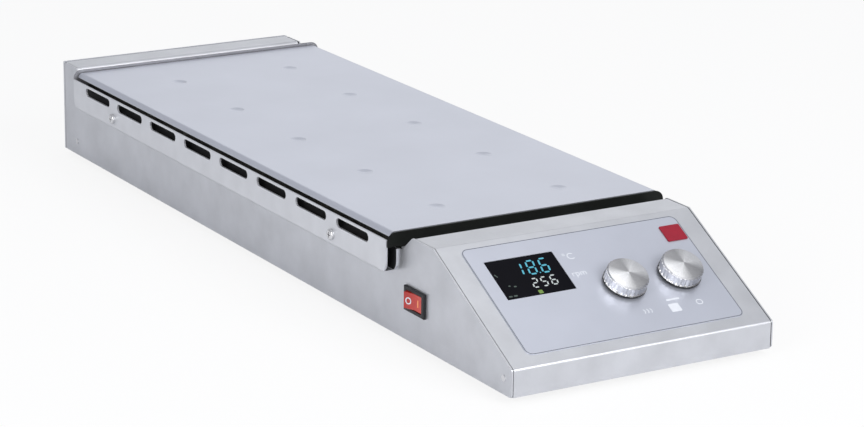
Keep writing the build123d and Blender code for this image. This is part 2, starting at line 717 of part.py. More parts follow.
overlay = Pos(0, (OVERLAY_LOW + OVERLAY_HIGH) / 2) * RectangleRounded(
    2 * OVERLAY_HALF_W, OVERLAY_HIGH - OVERLAY_LOW, OVERLAY_R
)
overlay -= window
for u in KNOB_U:
    overlay -= Pos(u, KNOB_V) * Circle(BUSH_R + TOUCH)
save("control_overlay", on_slope(overlay, 0, OVERLAY_T))

glass = Pos(DISPLAY_U, DISPLAY_V) * Rectangle(DISPLAY_W, DISPLAY_H)
glass_rim = Pos(DISPLAY_U, DISPLAY_V) * Rectangle(DISPLAY_W + 2 * DISPLAY_RIM, DISPLAY_H + 2 * DISPLAY_RIM)
save("display_window", on_slope(glass, -SHEET, OVERLAY_T) + on_slope(glass_rim, -2 * SHEET, -SHEET))

board_top = -SHEET - ENCODER_H
module_w = DISPLAY_W + 2 * DISPLAY_RIM + MODULE_MARGIN
module_h = DISPLAY_H + 2 * DISPLAY_RIM + MODULE_MARGIN
module = Pos(DISPLAY_U, DISPLAY_V) * Rectangle(module_w, module_h)
save("display_module", on_slope(module, board_top, -2 * SHEET))

badge = Pos(BADGE_U, BADGE_V) * RectangleRounded(BADGE_W, BADGE_H, 2 * SEAM)
save("badge_tile", on_slope(badge, OVERLAY_T, OVERLAY_T + BADGE_T))

board = Pos(0, (BOARD_LOW + BOARD_HIGH) / 2) * Rectangle(2 * BOARD_HALF_W, BOARD_HIGH - BOARD_LOW)
save("control_board", on_slope(board, board_top - BOARD_T, board_top))
board_posts = [
    on_slope(Pos(u, v) * Circle(POST_R), board_top, -SHEET)
    for u in (-BOARD_HALF_W + POST_R, BOARD_HALF_W - POST_R)
    for v in (BOARD_LOW + POST_R, BOARD_HIGH - POST_R)
]
save("control_board_posts", *board_posts)


def encoder(u):
    """Encoder body with its threaded bush and nut."""
    centre = Pos(u, KNOB_V)
    body = on_slope(centre * Rectangle(ENCODER_SIDE, ENCODER_SIDE), board_top, -SHEET)
    body += on_slope(centre * Circle(BUSH_R), -SHEET, BUSH_TOP)
    body -= on_slope(centre * Circle(SHAFT_R + RUNNING), -SHEET - 1, BUSH_TOP + 1)
    body -= on_slope(centre * Circle(PLUNGER_R + RUNNING), board_top + SEAM, -SHEET - 1)
    nut = centre * (RegularPolygon(NUT_ACROSS / 2, 6, major_radius=False) - Circle(BUSH_R))
    return [body, on_slope(nut, OVERLAY_T, OVERLAY_T + NUT_T)]


def knob(u):
    """Turned knob: fluted grip, chamfered rim and a slightly conical face."""
    centre = Pos(u, KNOB_V)
    grip_low = KNOB_GAP + KNOB_BASE_T
    grip_top = grip_low + KNOB_GRIP_H
    grip = Circle(KNOB_R) - PolarLocations(KNOB_R, KNOB_FLUTES) * Rectangle(FLUTE_SIDE, FLUTE_SIDE, 45)
    rim_top = grip_top + KNOB_CHAMFER_H
    body = on_slope(centre * Circle(KNOB_BASE_R), KNOB_GAP, grip_low)
    body += on_slope(centre * grip, grip_low, grip_top)
    crown = Polyline(
        (0, grip_top),
        (KNOB_R - FLUTE_SIDE / 2, grip_top),
        (KNOB_FACE_R, rim_top),
        (0, rim_top + KNOB_CONE_H),
        close=True,
    )
    crown_plane = Plane(SLOPE.location * Location((u, KNOB_V, 0), (90, 0, 0)))
    body += revolve(crown_plane * make_face(crown), Axis(crown_plane.origin, SLOPE.z_dir))
    body -= on_slope(centre * Circle(KNOB_RECESS_R), KNOB_GAP, KNOB_GAP + KNOB_RECESS_H)
    body -= on_slope(centre * Circle(SHAFT_R), KNOB_GAP, SHAFT_TOP)
    return body


def encoder_shaft(u):
    """Encoder shaft inside its bush, down to the plunger."""
    foot = board_top + SEAM + PUSH_TRAVEL + PLUNGER_T + 2 * RUNNING
    return on_slope(Pos(u, KNOB_V) * Circle(SHAFT_R), foot, SHAFT_TOP)


def plunger(u):
    """Push-switch plunger under the encoder shaft."""
    low = board_top + SEAM + PUSH_TRAVEL + RUNNING
    return on_slope(Pos(u, KNOB_V) * Circle(PLUNGER_R), low, low + PLUNGER_T)


for name, u in zip(("heat", "speed"), KNOB_U):
    save(f"{name}_encoder", *encoder(u))
    save(f"{name}_knob", knob(u))
    save(f"{name}_shaft", encoder_shaft(u))
    save(f"{name}_plunger", plunger(u))

# Power switch

switch_y = FRONT + SWITCH_FROM_NOSE
switch_z = BOTTOM + SWITCH_Z
bezel = block(
    -SIDE - SWITCH_LIP,
    -SIDE,
    switch_y - SWITCH_L / 2,
    switch_y + SWITCH_L / 2,
    switch_z - SWITCH_H / 2,
    switch_z + SWITCH_H / 2,
)
bezel = fillet(bezel.edges().group_by(Axis.X)[0], SWITCH_LIP / 3)
switch = bezel + switch_box(0, -SIDE - SEAM, -SIDE + SWITCH_DEPTH)
half_throw = math.radians(ROCKER_ANGLE / 2)
pivot_x = -SIDE - SWITCH_LIP + ROCKER_SINK + ROCKER_WEB * math.cos(half_throw)
pocket_r = ROCKER_R + ROCKER_GAP
pocket_z = (switch_z - ROCKER_H / 2 - ROCKER_GAP, switch_z + ROCKER_H / 2 + ROCKER_GAP)
pin_z = (pocket_z[0] - TRUNNION_L, pocket_z[1] + TRUNNION_L)
switch -= post(pivot_x, switch_y, *pocket_z, pocket_r)
switch -= block(pivot_x - SWITCH_L, pivot_x, switch_y - pocket_r, switch_y + pocket_r, *pocket_z)
switch -= post(pivot_x, switch_y, pin_z[0] - RUNNING, pin_z[1] + RUNNING, TRUNNION_R + RUNNING)
save("power_switch", switch)

# Two faces meet in a valley over the pivot; half the throw is already taken at rest, switched on
rise = ROCKER_R * math.tan(half_throw)
faces = Polyline(
    (-ROCKER_WEB, 0),
    (-ROCKER_WEB - rise, ROCKER_R),
    (ROCKER_R, ROCKER_R),
    (ROCKER_R, -ROCKER_R),
    (-ROCKER_WEB - rise, -ROCKER_R),
    close=True,
)
paddle = Rot(0, 0, ROCKER_ANGLE / 2) * (Circle(ROCKER_R) & make_face(faces))
rocker = along_z(Pos(pivot_x, switch_y) * paddle, switch_z - ROCKER_H / 2, switch_z + ROCKER_H / 2)
rocker += post(pivot_x, switch_y, *pin_z, TRUNNION_R)
save("power_rocker", rocker)

# Mains end

inlet_plane = Plane(origin=(INLET_X, REAR, fitting_z), x_dir=(-1, 0, 0), z_dir=(0, 1, 0))
inlet = extrude(inlet_plane * RectangleRounded(INLET_FLANGE_W, INLET_FLANGE_H, 2), amount=INLET_FLANGE_T)
inlet += extrude(inlet_plane * Rectangle(INLET_BODY_W, INLET_BODY_H), amount=-INLET_DEPTH)
cavity = Rectangle(INLET_CAVITY_W, INLET_CAVITY_H)
cavity = chamfer(cavity.vertices().sort_by(Axis.Y)[2:], INLET_CHAMFER)
mouth = inlet_plane.offset(INLET_FLANGE_T)
inlet -= extrude(mouth * cavity, amount=-INLET_CAVITY_D)
pin_places = [(-PIN_SPREAD, -PIN_RISE), (PIN_SPREAD, -PIN_RISE), (0, PIN_RISE)]
pin_plane = inlet_plane.offset(INLET_FLANGE_T - INLET_CAVITY_D)
for pin_x, pin_z in pin_places:
    inlet += extrude(pin_plane * Pos(pin_x, pin_z) * Rectangle(PIN_W, PIN_H), amount=PIN_L)
save("mains_inlet", inlet)

fuse = bar_y(FUSE_X, REAR, REAR + REAR_PROUD, fitting_z, FUSE_CAP_R)
fuse = fillet(fuse.edges().sort_by(Axis.Y)[-1], REAR_PROUD / 3)
fuse -= block(
    FUSE_X - FUSE_R, FUSE_X + FUSE_R, REAR + REAR_PROUD / 2, REAR + 2 * REAR_PROUD,
    fitting_z - SEAM, fitting_z + SEAM,
)
fuse += bar_y(FUSE_X, REAR - FUSE_DEPTH, REAR, fitting_z, FUSE_R)
save("fuse_holder", fuse)

probe = bar_y(PROBE_X, REAR, REAR + REAR_PROUD, fitting_z, PROBE_NUT_R)
probe += bar_y(PROBE_X, REAR - PROBE_DEPTH, REAR, fitting_z, PROBE_R)
probe -= bar_y(PROBE_X, REAR - PROBE_DEPTH / 2, REAR + 2 * REAR_PROUD, fitting_z, PROBE_BORE_R)
save("probe_socket", probe)

power_y = (ROW_Y[-2] + ROW_Y[-1]) / 2
board_low = PAN_TOP + POWER_POST_H
half_w = POWER_BOARD_W / 2
half_l = POWER_BOARD_L / 2
power_board = block(-half_w, half_w, power_y - half_l, power_y + half_l, board_low, board_low + BOARD_T)
part_low = board_low + BOARD_T
transformer = block(-half_w + 6, -half_w + 32, power_y - 34, power_y - 6, part_low, part_low + 9)
heat_sink = block(half_w - 12, half_w - 4, power_y - 38, power_y + 20, part_low, part_low + 9)
capacitors = [post(x, power_y + 34, part_low, part_low + 8, 6) for x in (-half_w + 14, -half_w + 32)]
save("power_board", power_board, transformer, heat_sink, *capacitors)
power_posts = [
    post(x, y, PAN_TOP, board_low, POST_R)
    for x in (-half_w + POST_R, half_w - POST_R)
    for y in (power_y - half_l + POST_R, power_y + half_l - POST_R)
]
save("power_board_posts", *power_posts)
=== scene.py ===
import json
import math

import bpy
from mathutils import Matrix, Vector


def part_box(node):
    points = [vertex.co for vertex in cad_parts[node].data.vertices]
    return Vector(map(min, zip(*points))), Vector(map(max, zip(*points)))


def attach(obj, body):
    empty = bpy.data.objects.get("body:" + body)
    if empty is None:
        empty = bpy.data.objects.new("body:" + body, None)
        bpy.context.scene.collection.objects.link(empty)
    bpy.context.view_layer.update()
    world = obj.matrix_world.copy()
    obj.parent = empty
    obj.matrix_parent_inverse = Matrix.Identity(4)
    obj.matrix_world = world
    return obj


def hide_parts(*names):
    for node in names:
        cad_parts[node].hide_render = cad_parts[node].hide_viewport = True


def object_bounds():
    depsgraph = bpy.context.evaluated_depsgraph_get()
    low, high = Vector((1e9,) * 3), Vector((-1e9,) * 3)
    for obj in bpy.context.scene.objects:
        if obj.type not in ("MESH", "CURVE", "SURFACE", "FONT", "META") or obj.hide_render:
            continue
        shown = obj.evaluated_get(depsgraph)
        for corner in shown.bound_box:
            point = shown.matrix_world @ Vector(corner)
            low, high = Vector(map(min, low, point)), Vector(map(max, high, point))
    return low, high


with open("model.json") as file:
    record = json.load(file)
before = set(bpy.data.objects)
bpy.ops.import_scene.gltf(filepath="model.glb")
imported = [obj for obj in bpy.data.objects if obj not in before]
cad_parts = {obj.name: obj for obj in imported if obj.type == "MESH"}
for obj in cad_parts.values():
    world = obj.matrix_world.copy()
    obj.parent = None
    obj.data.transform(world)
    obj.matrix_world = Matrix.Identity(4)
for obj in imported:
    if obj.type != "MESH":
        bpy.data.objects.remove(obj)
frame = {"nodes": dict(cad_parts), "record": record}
cad_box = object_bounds()

# %% [markdown]
# # A ten-position hotplate stirrer
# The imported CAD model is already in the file, in metres, with +Z up and the console towards -Y.
# Everything below dresses it: a camera and a studio, metal and plastic finishes, and the pieces
# that deserve finer modelling than a CAD solid has, such as the knobs, the display and the screws.
# The modules and the few values that every later cell uses come first.

MM = 0.001
nodes = frame["nodes"]
scene = bpy.context.scene
print("CAD box", [tuple(round(v, 4) for v in corner) for corner in cad_box])

# %% [markdown]
# ## The camera
# A long lens flattens the instrument, so its parallel edges stay nearly parallel. The camera looks
# at a point a little in front of the middle from the front left, about 16 degrees above the table.
# Its axes are written out as a matrix, because that also takes the small tilt of the picture.

# %% Camera
AIM = Vector((6.4, -57.16, 34.5)) * MM
DISTANCE = 1.9385
AZIMUTH = math.radians(-31.12)
ELEVATION = math.radians(16.48)
TILT = math.radians(0.84)
LENS = 123.0
SENSOR = 36.0
FAR = 50.0

back = Vector((
    math.sin(AZIMUTH) * math.cos(ELEVATION),
    -math.cos(AZIMUTH) * math.cos(ELEVATION),
    math.sin(ELEVATION),
))
level = Vector((0, 0, 1)).cross(back).normalized()
upright = back.cross(level)
right = level * math.cos(TILT) + upright * math.sin(TILT)
up = upright * math.cos(TILT) - level * math.sin(TILT)
camera_data = bpy.data.cameras.new("camera")
camera_data.lens = LENS
camera_data.sensor_width = SENSOR
camera_data.clip_end = FAR
camera = bpy.data.objects.new("camera", camera_data)
scene.collection.objects.link(camera)
place = AIM + back * DISTANCE
camera.matrix_world = Matrix((
    (right.x, up.x, back.x, place.x),
    (right.y, up.y, back.y, place.y),
    (right.z, up.z, back.z, place.z),
    (0, 0, 0, 1),
))
scene.camera = camera
print("camera at", tuple(round(v, 3) for v in place))

# %% [markdown]
# ## The studio
# The instrument stands on a white table in a white room, lit by soft boxes. The room and the table
# are white to the camera and through glass, but they send less light than that to the object, so
# pale metal keeps its own tone. A small share of plain diffuse white keeps a soft shadow.

# %% Table and room
FLOOR_SIDE = 60.0
TABLE_WHITE = (0.85, 0.85, 0.86, 1)
ROOM_WHITE = (0.93, 0.95, 1.0, 1)
ROOM_LIGHT = 0.54
SHOWN_SHARE = 0.86


def shown_to_camera(tree):
    """A 0 to 1 value that is 1 for what the camera sees directly or through glass."""
    path = tree.nodes.new("ShaderNodeLightPath")
    seen = tree.nodes.new("ShaderNodeMath")
    seen.operation = "MAXIMUM"
    tree.links.new(path.outputs["Is Camera Ray"], seen.inputs[0])
    tree.links.new(path.outputs["Is Transmission Ray"], seen.inputs[1])
    return seen.outputs[0]


bpy.ops.object.select_all(action="DESELECT")
bpy.ops.mesh.primitive_plane_add(size=FLOOR_SIDE)
table = bpy.context.object
table.name = "table_top"
white = bpy.data.materials.new("studio_white")
white.use_nodes = True
tree = white.node_tree
tree.nodes.clear()
matt = tree.nodes.new("ShaderNodeBsdfDiffuse")
matt.inputs["Color"].default_value = TABLE_WHITE
glow = tree.nodes.new("ShaderNodeEmission")
glow.inputs["Strength"].default_value = 1.0
blend = tree.nodes.new("ShaderNodeMixShader")
share = tree.nodes.new("ShaderNodeMath")
share.operation = "MULTIPLY"
share.inputs[1].default_value = SHOWN_SHARE
tree.links.new(shown_to_camera(tree), share.inputs[0])
tree.links.new(share.outputs[0], blend.inputs[0])
tree.links.new(matt.outputs[0], blend.inputs[1])
tree.links.new(glow.outputs[0], blend.inputs[2])
out = tree.nodes.new("ShaderNodeOutputMaterial")
tree.links.new(blend.outputs[0], out.inputs["Surface"])
table.data.materials.append(white)
print("table", FLOOR_SIDE, "m")

world = bpy.data.worlds.new("room")
scene.world = world
world.use_nodes = True
tree = world.node_tree
tree.nodes.clear()
room = tree.nodes.new("ShaderNodeBackground")
room.inputs["Color"].default_value = ROOM_WHITE
room.inputs["Strength"].default_value = ROOM_LIGHT
clear = tree.nodes.new("ShaderNodeBackground")
clear.inputs["Strength"].default_value = 1.0
blend = tree.nodes.new("ShaderNodeMixShader")
tree.links.new(shown_to_camera(tree), blend.inputs[0])
tree.links.new(room.outputs[0], blend.inputs[1])
tree.links.new(clear.outputs[0], blend.inputs[2])
out = tree.nodes.new("ShaderNodeOutputWorld")
tree.links.new(blend.outputs[0], out.inputs["Surface"])

# %% [markdown]
# Five soft boxes do the lighting: one on each side of the camera, one low in front for the nose,
# one overhead and one behind. Their strengths are low enough that a colour comes out about as it
# is written. Each row gives a name, a place, the point it is turned to, a size and a power.

# %% Soft boxes
LAMPS = (
    ("over_box", (0.35, 0.0, 1.6), (0, -0.1, 0), 1.1, 3.2),
    ("front_box", (0.5, -1.9, 1.1), (0, -0.2, 0.05), 1.1, 24.0),
    ("left_box", (-1.7, -0.9, 0.8), (0, -0.1, 0.05), 0.9, 16.0),
    ("rear_box", (1.5, 2.2, 1.0), (0, 0, 0), 1.6, 3.9),
    ("low_box", (-0.9, -1.6, 0.35), (0, -0.25, 0.03), 0.7, 2.7),
)


def soft_box(name, place, aim, size, watts):
    """A square area lamp at a place, turned to a point."""
    lamp = bpy.data.lights.new(name, "AREA")
    lamp.shape = "SQUARE"
    lamp.size = size
    lamp.energy = watts
    stand = bpy.data.objects.new(name, lamp)
    scene.collection.objects.link(stand)
    stand.location = place
    stand.rotation_euler = (Vector(aim) - Vector(place)).to_track_quat("-Z", "Y").to_euler()


for row in LAMPS:
    soft_box(*row)
scene.view_settings.view_transform = "Standard"

# %% [markdown]
# ## Finishes
# Every finish is one Principled shader with fine procedural detail: a slow noise that shifts the
# colour a little, a quick one for grain in the bump, and a spread of roughness. They read Object
# coordinates, which are metres here, so a scale of 1000 means one wave per millimetre.

# %% Finish helper
RELIEF_DEPTH = 0.2 * MM
SMOOTHEST = 0.02


def finish(name, colour, metallic=0.0, roughness=0.5, shift=0.04, patch=60.0, grain=900.0,
           relief=0.02, spread=0.06, stretch=(1, 1, 1), coat=0.0, specular=0.5):
    """A surface with drifting colour, uneven roughness and fine relief."""
    material = bpy.data.materials.new(name)
    material.use_nodes = True
    tree = material.node_tree
    shader = tree.nodes["Principled BSDF"]
    shader.inputs["Metallic"].default_value = metallic
    shader.inputs["Coat Weight"].default_value = coat
    shader.inputs["Specular IOR Level"].default_value = specular
    where = tree.nodes.new("ShaderNodeTexCoord")
    turn = tree.nodes.new("ShaderNodeMapping")
    turn.inputs["Scale"].default_value = stretch
    tree.links.new(where.outputs["Object"], turn.inputs["Vector"])

    slow = tree.nodes.new("ShaderNodeTexNoise")
    slow.inputs["Scale"].default_value = patch
    slow.inputs["Detail"].default_value = 5.0
    tree.links.new(where.outputs["Object"], slow.inputs["Vector"])
    ramp = tree.nodes.new("ShaderNodeValToRGB")
    ramp.color_ramp.elements[0].position = 0.3
    ramp.color_ramp.elements[1].position = 0.7
    ramp.color_ramp.elements[0].color = (*[c * (1 - shift) for c in colour], 1)
    ramp.color_ramp.elements[1].color = (*[min(1.0, c * (1 + shift)) for c in colour], 1)
    tree.links.new(slow.outputs["Fac"], ramp.inputs["Fac"])
    tree.links.new(ramp.outputs["Color"], shader.inputs["Base Color"])

    quick = tree.nodes.new("ShaderNodeTexNoise")
    quick.inputs["Scale"].default_value = grain
    quick.inputs["Detail"].default_value = 3.0
    tree.links.new(turn.outputs["Vector"], quick.inputs["Vector"])
    rough = tree.nodes.new("ShaderNodeMapRange")
    rough.inputs["To Min"].default_value = max(SMOOTHEST, roughness - spread)
    rough.inputs["To Max"].default_value = min(1.0, roughness + spread)
    tree.links.new(quick.outputs["Fac"], rough.inputs["Value"])
    tree.links.new(rough.outputs["Result"], shader.inputs["Roughness"])
    if relief:
        bump = tree.nodes.new("ShaderNodeBump")
        bump.inputs["Strength"].default_value = relief
        bump.inputs["Distance"].default_value = RELIEF_DEPTH
        tree.links.new(quick.outputs["Fac"], bump.inputs["Height"])
        tree.links.new(bump.outputs["Normal"], shader.inputs["Normal"])
    return material


def dress(material, *names):
    """Give CAD nodes or pieces this material alone."""
    for name in names:
        piece = nodes[name] if isinstance(name, str) else name
        piece.data.materials.clear()
        piece.data.materials.append(material)


print("finish helper ready for", len(nodes), "nodes")

# %% [markdown]
# The housing is satin sheet steel with a faint mottle, the deck is a shade more lilac and smoother,
# and the sheet that closes the deck's front end is near-black, which paints the shade of the gap
# under the deck's front edge. The insulation tray and the heat spreader get the same near-black
# finish as painted shade. Fasteners are bright and a little glossy.

# %% Metal finishes
sheet_steel = finish("sheet_steel", (0.60, 0.61, 0.64), metallic=0.85, roughness=0.40, shift=0.06,
                     patch=45.0, grain=700.0, relief=0.1, spread=0.08)
deck_steel = finish("deck_steel", (0.60, 0.62, 0.69), metallic=0.8, roughness=0.36, shift=0.025,
                    patch=18.0, grain=1200.0, relief=0.04, spread=0.05)
skirt_steel = finish("skirt_steel", (0.66, 0.67, 0.70), metallic=0.7, roughness=0.40, shift=0.04,
                     patch=60.0, grain=800.0, relief=0.07)
# Near-black: on the front bulkhead, the insulation tray and the heat spreader it is painted shade.
dark_sheet = finish("dark_sheet", (0.006, 0.007, 0.006), roughness=0.45, shift=0.2, patch=80.0,
                    grain=700.0, relief=0.05, specular=0.14)
rear_sheet = finish("rear_sheet", (0.26, 0.26, 0.28), metallic=0.5, roughness=0.4, shift=0.08,
                    patch=70.0, grain=700.0, relief=0.06)
bright_zinc = finish("bright_zinc", (0.70, 0.70, 0.71), metallic=1.0, roughness=0.22, shift=0.05,
                     patch=300.0, grain=2500.0, relief=0.05)
mill_aluminium = finish("mill_aluminium", (0.66, 0.67, 0.69), metallic=0.9, roughness=0.38,
                        shift=0.05, patch=50.0, grain=600.0, relief=0.1, stretch=(1, 0.05, 1))
tinned_brass = finish("tinned_brass", (0.62, 0.58, 0.48), metallic=1.0, roughness=0.25, shift=0.05,
                      patch=200.0, grain=2000.0, relief=0.05)
# Painted shade: a near-black finish for the faces inside the skirts' gutters and on the panels'
# ledges.
painted_shade_black = finish("painted_shade_black", (0.012, 0.012, 0.013), metallic=0.2, roughness=0.6, shift=0.2,
                    patch=90.0, grain=900.0, relief=0.1)
dress(sheet_steel, "left_side_panel", "right_side_panel", "console_cover", "rear_hood",
      "rear_panel", "base_pan")
dress(deck_steel, "hot_plate")
dress(skirt_steel, "left_skirt", "right_skirt")
# Painted shade: the near-black finish on the front bulkhead, the insulation tray and the heat
# spreader.
dress(dark_sheet, "front_bulkhead", "drive_motor", "insulation_tray", "heat_spreader")
dress(rear_sheet, "rear_bulkhead")
dress(bright_zinc, "skirt_spacers", "skirt_screws", "case_screws", "foot_screws", "chassis_pillars",
      "rotor_spindles", "motor_shaft", "control_board_posts", "power_board_posts", "heat_encoder",
      "speed_encoder", "heat_shaft", "speed_shaft")
dress(mill_aluminium, "drive_chassis", "heat_knob", "speed_knob")
dress(tinned_brass, "temperature_sensor")
print("metal finishes", len(bpy.data.materials))

# %% [markdown]
# Plastics and rubbers have no metal in them and a softer grain. The printed film on the console has
# metal pigment in it, so it is partly metallic, pale blue-grey and slightly glossy. The boards
# inside are green, and the insulation is off-white.

# %% Plastic, film and board finishes
black_plastic = finish("black_plastic", (0.018, 0.018, 0.02), roughness=0.42, shift=0.1,
                       patch=150.0, grain=1800.0, relief=0.1, specular=0.28)
film = finish("film", (0.50, 0.52, 0.59), metallic=0.55, roughness=0.34, shift=0.03, patch=25.0,
              grain=2200.0, relief=0.05, spread=0.04, coat=0.15)
smoked_glass = finish("smoked_glass", (0.003, 0.003, 0.005), roughness=0.12, shift=0.2, patch=30.0,
                      grain=900.0, relief=0.0, spread=0.02, specular=0.03)
red_enamel = finish("red_enamel", (0.27, 0.006, 0.022), roughness=0.3, shift=0.08, patch=200.0,
                    grain=1500.0, relief=0.03, specular=0.3)
red_lens = finish("red_lens", (0.62, 0.02, 0.015), roughness=0.22, shift=0.1, patch=150.0,
                  grain=900.0, relief=0.02, coat=0.4)
solder_mask = finish("solder_mask", (0.01, 0.11, 0.045), roughness=0.35, shift=0.12, patch=220.0,
                     grain=1200.0, relief=0.1)
mineral_fibre = finish("mineral_fibre", (0.72, 0.70, 0.62), roughness=0.95, shift=0.08, patch=90.0,
                       grain=500.0, relief=0.6)
heater_mat = finish("heater_mat", (0.05, 0.022, 0.012), roughness=0.6, shift=0.1, patch=70.0,
                    grain=900.0, relief=0.25)
black_rubber = finish("black_rubber", (0.022, 0.022, 0.022), roughness=0.8, shift=0.15, patch=160.0,
                      grain=1500.0, relief=0.3)
dress(black_plastic, "power_switch", "mains_inlet", "fuse_holder", "probe_socket", "display_module",
      "heat_plunger", "speed_plunger", "motor_pulley")
dress(black_plastic, *[f"rotor_{number:02d}" for number in range(1, 11)])
dress(film, "control_overlay")
dress(smoked_glass, "display_window")
dress(red_enamel, "badge_tile")
dress(red_lens, "power_rocker")
dress(solder_mask, "control_board", "power_board")
dress(mineral_fibre, "insulation_board")
dress(heater_mat, "heating_element")
dress(black_rubber, "rubber_feet", "drive_belts")
print("finishes", len(bpy.data.materials))

# %% [markdown]
# ## Rounded sheet edges
# Real sheet metal has small rounded edges that catch the light, and a CAD solid's are sharp. Each
# outer sheet is copied from its CAD node, its doubled points are merged, its flat triangles are
# joined, and a Bevel modifier rounds what is left. Weighted normals then keep the flats flat, so
# only the narrow rounded edge shades as a curve. The copy stands for the node from then on.

# %% Rounded copy helper
SAME_POINT = 0.002 * MM
FLAT_ANGLE = math.radians(0.5)
bodies = frame["record"]["behaviour"]["bodies"]
body_of_node = {name: body for body, members in bodies.items() for name in members}


def alone(piece):
    """Select one piece and make it active."""
    bpy.ops.object.select_all(action="DESELECT")
    piece.select_set(True)
    bpy.context.view_layer.objects.active = piece


def apply_modifier(piece, kind, **settings):
    """Add a modifier, set it and apply it."""
    alone(piece)
    modifier = piece.modifiers.new(kind.lower(), kind)
    for key, value in settings.items():
        setattr(modifier, key, value)
    bpy.ops.object.modifier_apply(modifier=modifier.name)


def join_body(piece, node):
    """Let a piece stand for a CAD node: it joins the node's body and the node is hidden."""
    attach(piece, body_of_node[node])
    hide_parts(node)


def rounded_copy(node, width, material, segments=2, corner=40.0, smooth=35.0):
    """A copy of a CAD node with rounded edges, which stands for it."""
    piece = bpy.data.objects.new(node + "_rounded", nodes[node].data.copy())
    scene.collection.objects.link(piece)
    alone(piece)
    if piece.data.has_custom_normals:
        bpy.ops.mesh.customdata_custom_splitnormals_clear()
    bpy.ops.object.mode_set(mode="EDIT")
    bpy.ops.mesh.select_all(action="SELECT")
    bpy.ops.mesh.remove_doubles(threshold=SAME_POINT)
    bpy.ops.mesh.dissolve_limited(angle_limit=FLAT_ANGLE)
    bpy.ops.object.mode_set(mode="OBJECT")
    apply_modifier(piece, "BEVEL", width=width, segments=segments, limit_method="ANGLE",
                   angle_limit=math.radians(corner), harden_normals=False)
    alone(piece)
    bpy.ops.object.shade_smooth_by_angle(angle=math.radians(smooth))
    apply_modifier(piece, "WEIGHTED_NORMAL", keep_sharp=True, weight=100)
    dress(material, piece)
    join_body(piece, node)
    print(piece.name, len(piece.data.polygons), "faces")
    return piece


print("nodes with a body", len(body_of_node))

# %% [markdown]
# Light doesn't reach behind the skirts or into the folded ledges of the side panels, so the shade
# there is painted: those faces get a second, near-black finish, chosen by their place.

# %% Rounded sheets, screws and mouldings
SHEET_EDGE = 0.25 * MM
PANEL_EDGE = 0.15 * MM
MOULDED_EDGE = 0.2 * MM
LEDGE_X = 92.1 * MM
GUTTER_X = 100.4 * MM
GUTTER_Z = 45.5 * MM


def darken(piece, material, hidden):
    """Give the faces for which hidden(face) is true a second, darker material."""
    piece.data.materials.append(material)
    for face in piece.data.polygons:
        if hidden(face):
            face.material_index = 1


def in_gutter(face):
    """Whether a skirt's face is inside its folded gutter."""
    return (abs(face.center.x) < GUTTER_X and face.center.z > GUTTER_Z
            and face.normal.z > -0.5 and abs(face.normal.y) < 0.5)


for node in ("console_cover", "rear_hood", "rear_panel"):
    rounded_copy(node, SHEET_EDGE, sheet_steel)
# Painted shade: the panels' ledge faces and the faces inside the skirts' gutters get the near-black
# finish.
for node in ("left_side_panel", "right_side_panel"):
    panel = rounded_copy(node, PANEL_EDGE, sheet_steel)
    darken(panel, painted_shade_black, lambda face: abs(face.center.x) < LEDGE_X)
for node in ("left_skirt", "right_skirt"):
    darken(rounded_copy(node, SHEET_EDGE, skirt_steel), painted_shade_black, in_gutter)
# The front bulkhead's near-black finish is painted shade for the gap under the deck's front edge.
rounded_copy("front_bulkhead", SHEET_EDGE, dark_sheet)
rounded_copy("rear_bulkhead", SHEET_EDGE, rear_sheet)
rounded_copy("skirt_screws", PANEL_EDGE, bright_zinc)
rounded_copy("badge_tile", MOULDED_EDGE, red_enamel)
rounded_copy("mains_inlet", MOULDED_EDGE, black_plastic)
rounded_copy("power_switch", PANEL_EDGE, black_plastic)

# %% [markdown]
# ## The console's slope
# Knobs, display and print all lie on the slope. The display and the print are modelled flat, round
# the origin, with +X to the right and +Y up the slope, and one matrix then seats them on it; the
# same matrix gives the knobs' axes.

# %% Slope matrix
NOSE_Y = cad_box[0][1]
NOSE_TOP = 21.5 * MM
SLOPE_RISE = 48.5
SLOPE_RUN = 89.0
SLOPE_ANGLE = math.atan2(SLOPE_RISE, SLOPE_RUN)
SLOPE = Matrix.Translation((0, NOSE_Y, NOSE_TOP)) @ Matrix.Rotation(SLOPE_ANGLE, 4, "X")
FILM_TOP = 0.4 * MM


def seat(piece, matrix):
    """Put a piece in place and leave its object at the origin."""
    piece.matrix_world = matrix
    alone(piece)
    bpy.ops.object.transform_apply(location=True, rotation=True, scale=True)


print("slope", round(math.degrees(SLOPE_ANGLE), 2), "degrees")

# %% [markdown]
# ## Knobs
# The knobs are turned from aluminium bar, so the face spreads each highlight into a bow tie. The
# turning marks run round the axis: a polar UV map, with the angle in U and the radius in V, carries
# the fine rings, the light and dark sectors and the direction in which the highlight stretches. The
# sectors are a painted reflection in the base colour, two light and two dark, which turn with the
# knob.

# %% Turned metal
KNOB_U = {"heat": 13.0, "speed": 53.0}
KNOB_V = 49.2
KNOB_R = 13.4 * MM
COLLAR_TOP = 2.6 * MM
KNOB_EDGE = 0.14 * MM
RING_STRETCH = (3.0, 90.0, 1.0)
RING_RELIEF = 0.1 * MM
PAINTED_SECTOR_START = 0.7

